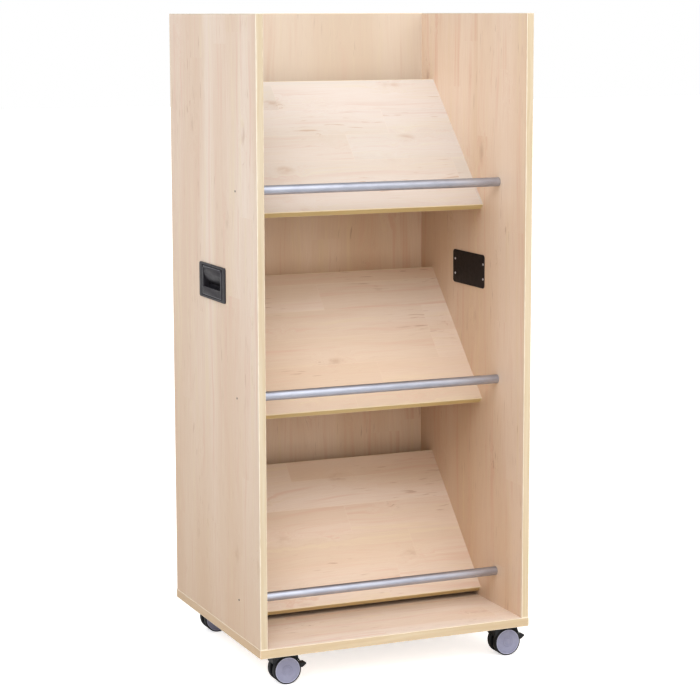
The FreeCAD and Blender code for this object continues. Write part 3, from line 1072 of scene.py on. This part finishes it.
def wheel_patterns():
    """Tyre, disc and rim bead of the wheel on the front side, about the wheel's centre."""
    low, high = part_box("caster_front_left_wheel_front")
    radius, face = (high.z - low.z) / 2, (low.y - high.y) / 2
    tyre = add_round("tyre_pattern", radius, (0, face, 0), (0, -face, 0), wheel_sides)
    across = edges_along((0, 1, 0))
    round_corners(tyre, lambda edge: not across(edge), shoulder_round, 6)
    edit(tyre, "FACE", faces_towards((0, -1, 0), -face - pick_margin))
    step_faces((radius - shoulder_round - disc_radius, disc_depth))
    object_mode()
    edit(tyre, "FACE", faces_towards((0, 1, 0), -face - pick_margin))
    step_faces(*tyre_back_steps)
    object_mode()

    floor_y = face + disc_depth
    crown_y = face + disc_crown_depth
    face_radius = disc_radius - bead_width
    disc = add_round("disc_pattern", face_radius, (0, floor_y, 0), (0, crown_y, 0), wheel_sides)
    edit(disc, "FACE", faces_towards((0, -1, 0), -crown_y - pick_margin))
    step_faces((face_radius - medallion_radius - medallion_rim, disc_dish), *medallion_steps)
    object_mode()
    soften(disc, disc_round, 2, 30)

    crown_y = face + bead_crown_depth
    bead = add_round("bead_pattern", disc_radius, (0, floor_y, 0), (0, crown_y, 0), wheel_sides)
    edit(bead, "FACE", faces_towards((0, -1, 0), -crown_y - pick_margin))
    step_faces((bead_width, disc_depth - bead_floor))
    object_mode()
    soften(bead, bead_round, 4, 30)
    return tyre, disc, bead


def wheels(caster, tyre, disc, bead):
    """Both wheels of one caster: a tyre in place of the CAD wheel, with its disc and bead."""
    mirror = Matrix.Scale(-1, 4, (0, 1, 0))
    for side in ("front", "rear"):
        node = f"{caster}_wheel_{side}"
        low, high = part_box(node)
        place = Matrix.Translation((low + high) / 2)
        if side == "rear":
            place = place @ mirror
        body = f"{caster}_{side}_wheel"
        tread = placed_copy(tyre, f"{node}_tyre", place)
        dress(tread, body, tyre_rubber)
        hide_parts(node)
        face = placed_copy(disc, f"{node}_disc", place)
        dress(face, body, disc_plastic)
        rim = placed_copy(bead, f"{node}_bead", place)
        dress(rim, body, bead_highlight_plastic)


def hood(caster):
    """Hood with every edge eased."""
    piece = cad_copy(f"{caster}_hood", f"{caster}_hood_moulding")
    soften(piece, hood_round, 2, 32)
    dress(piece, caster, caster_nylon)
    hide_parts(f"{caster}_hood")


def pedal(caster):
    """Brake pedal with its edges eased."""
    piece = cad_copy(f"{caster}_brake_pedal", f"{caster}_pedal_moulding")
    soften(piece, pedal_round, 3, 32)
    dress(piece, f"{caster}_pedal", caster_nylon)
    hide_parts(f"{caster}_brake_pedal")


def casters():
    tyre, disc, bead = wheel_patterns()
    for place in ("front_left", "front_right", "rear_left", "rear_right"):
        caster = f"caster_{place}"
        wheels(caster, tyre, disc, bead)
        hood(caster)
        if place.startswith("front"):
            pedal(caster)
    for pattern in (tyre, disc, bead):
        bpy.data.objects.remove(pattern)


# ---------------------------------------------------------------- stage


def place_lamp(lamp, place, direction):
    stand = bpy.data.objects.new(lamp.name, lamp)
    stand.location = place
    stand.rotation_euler = direction.to_track_quat("-Z", "Y").to_euler()
    bpy.context.scene.collection.objects.link(stand)


def floor_and_light():
    """Plain pale floor and soft studio light."""
    deselect_all()
    bpy.ops.mesh.primitive_plane_add(size=floor_side)
    floor = start_piece("studio_floor")
    pale, nodes, shader, _ = new_material("studio_floor", Roughness=floor_roughness)
    nodes.feed(shader, Base_Color=floor_tone, Emission_Color=white)
    seen = nodes.add("ShaderNodeLightPath").outputs["Is Camera Ray"]
    nodes.feed(shader, Emission_Strength=nodes.ramp(seen, 0.0, 1.0, 0.0, floor_glow))
    floor.data.materials.append(pale)

    world = bpy.data.worlds.new("studio")
    world.use_nodes = True
    bpy.context.scene.world = world
    nodes = Nodes(world.node_tree)
    sky = world.node_tree.nodes["Background"]
    seen = nodes.add("ShaderNodeLightPath").outputs["Is Camera Ray"]
    nodes.feed(sky, Color=white, Strength=nodes.ramp(seen, 0.0, 1.0, ambient_strength, 1.0))

    sun = bpy.data.lights.new("soft_sun", "SUN")
    sun.energy = sun_strength
    sun.angle = math.radians(sun_spread_deg)
    place_lamp(sun, sun_place, -Vector(sun_from))
    for name, place, power in (
        ("front_softbox", front_softbox_place, front_softbox_power),
        ("side_softbox", side_softbox_place, side_softbox_power),
    ):
        softbox = bpy.data.lights.new(name, "AREA")
        softbox.shape = "SQUARE"
        softbox.size = softbox_size
        softbox.energy = power
        softbox.color = softbox_colour
        place_lamp(softbox, place, Vector(softbox_aim) - Vector(place))


def camera():
    lens = bpy.data.cameras.new("camera")
    lens.lens = lens_mm
    lens.sensor_width = sensor_mm
    lens.shift_y = frame_shift
    stand = bpy.data.objects.new("camera", lens)
    stand.rotation_euler = Euler((math.radians(90 - tilt_down_deg), 0, math.radians(heading_deg)))
    stand.rotation_euler.rotate_axis("Z", math.radians(-roll_deg))
    stand.location = eye
    bpy.context.scene.collection.objects.link(stand)
    bpy.context.scene.camera = stand


bpy.context.scene.view_settings.view_transform = "Standard"
bpy.context.scene.view_settings.gamma = display_gamma
camera()
floor_and_light()
paint_sides_and_back()
paint_base_and_shelves()
paint_edging_and_joinery()
for level in ("bottom", "middle", "top"):
    rail(level)
rail_screws()
handles()
cover_plates()
casters()
deselect_all()
